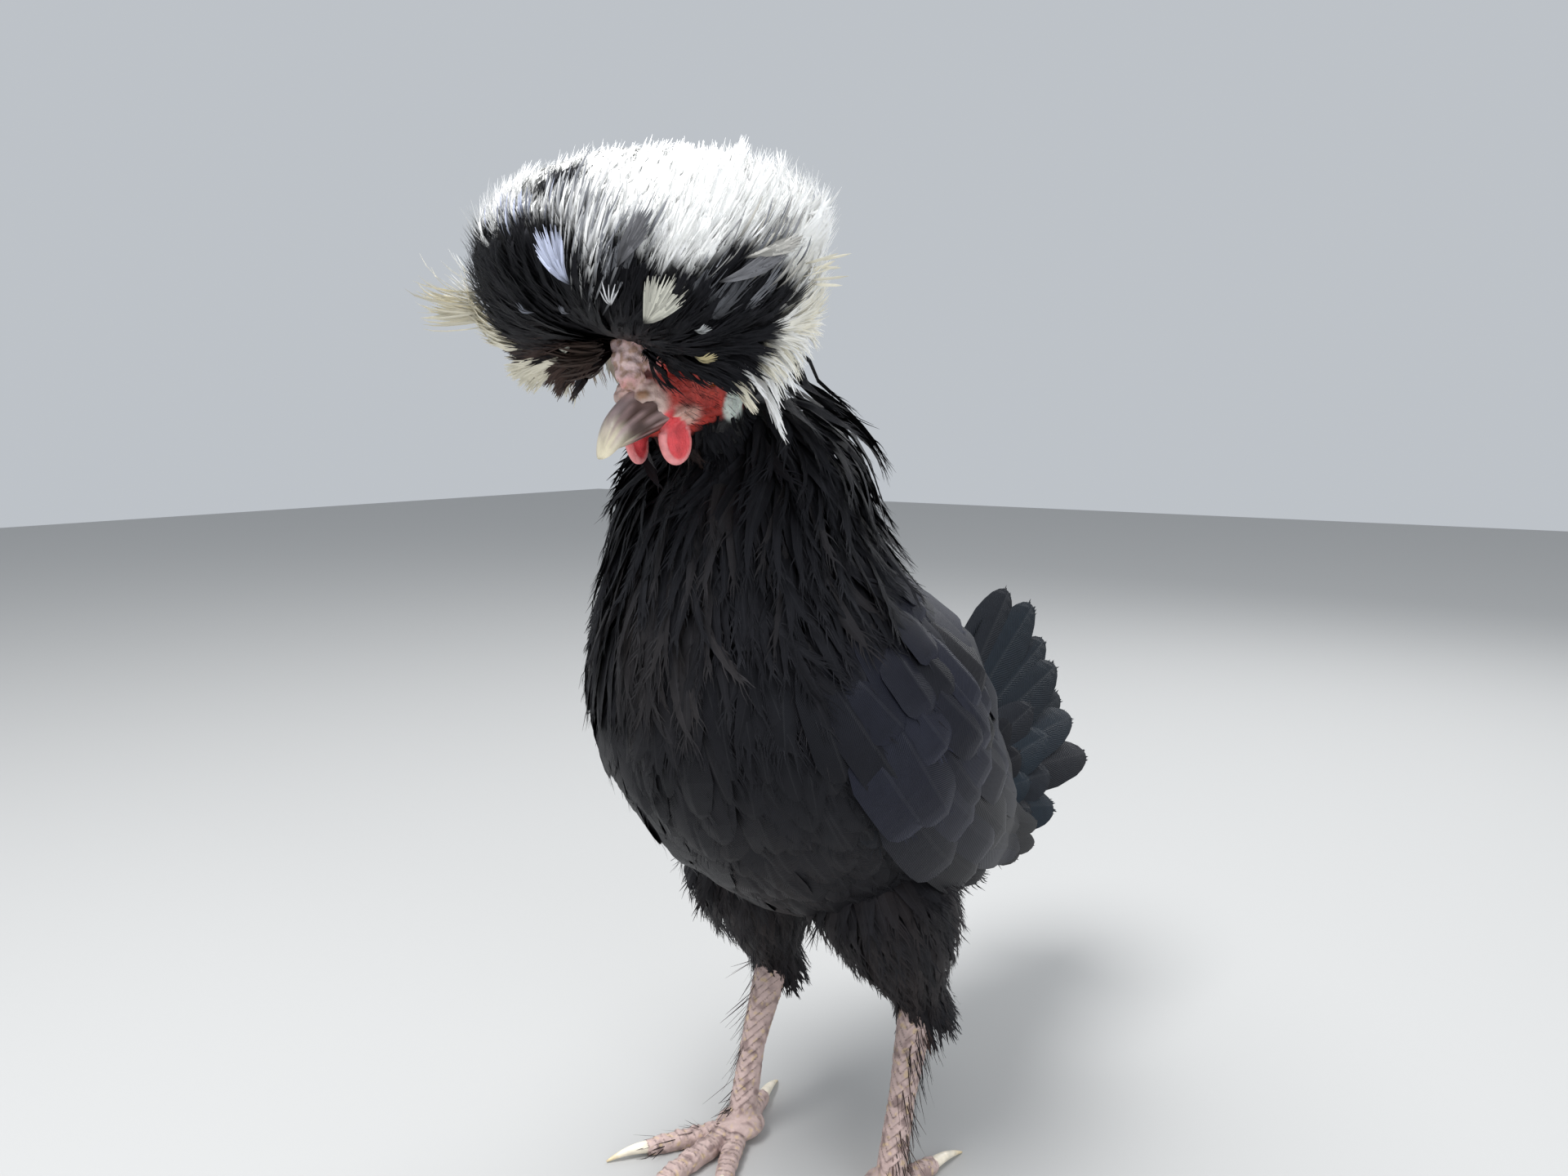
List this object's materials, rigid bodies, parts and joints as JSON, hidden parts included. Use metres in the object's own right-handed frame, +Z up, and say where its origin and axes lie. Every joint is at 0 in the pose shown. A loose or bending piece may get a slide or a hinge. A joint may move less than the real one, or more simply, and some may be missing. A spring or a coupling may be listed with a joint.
{
  "type": "polish crested chicken",
  "caption": "Standing crested hen with a globe of long crest feathers, black plumage, small red wattles, hooked bill, folded wings, fanned tail and long-clawed feet.",
  "frame": {"origin": "on the floor, under the middle of the bird's outer box", "axes": "+Z up, the bill towards -Y and the tail towards +Y, the bird's left side towards +X"},
  "size_m": [0.1346, 0.2828, 0.3332],
  "materials": {
    "plumage": "black feathers with a faint blue-green sheen",
    "crest": "white and cream feathers, black in front",
    "face": "bare red skin with fine bristles",
    "comb": "dull pinkish-grey skin, slightly crusted",
    "wattle": "smooth red skin with a paler rim",
    "earlobe": "bluish-white skin",
    "eye": "wet gloss",
    "bill": "streaked horn, satin",
    "scales": "dry pinkish-grey scales",
    "claw": "ivory horn, satin"
  },
  "bodies": {
    "root": {"torso": "plumage", "neck": "plumage", "tail": "plumage", "wing_left": "plumage", "wing_right": "plumage", "thigh_left": "plumage", "thigh_right": "plumage", "crest": "crest", "head": "face", "comb": "comb", "wattle_left": "wattle", "wattle_right": "wattle", "earlobe_left": "earlobe", "earlobe_right": "earlobe", "eye_left": "eye", "eye_right": "eye", "bill_upper": "bill", "bill_lower": "bill", "shank_left": "scales", "shank_right": "scales", "toe_inner_left": "scales", "toe_inner_right": "scales", "toe_middle_left": "scales", "toe_middle_right": "scales", "toe_outer_left": "scales", "toe_outer_right": "scales", "toe_hind_left": "scales", "toe_hind_right": "scales", "claw_inner_left": "claw", "claw_inner_right": "claw", "claw_middle_left": "claw", "claw_middle_right": "claw", "claw_outer_left": "claw", "claw_outer_right": "claw", "claw_hind_left": "claw", "claw_hind_right": "claw"}
  },
  "joints": []
}
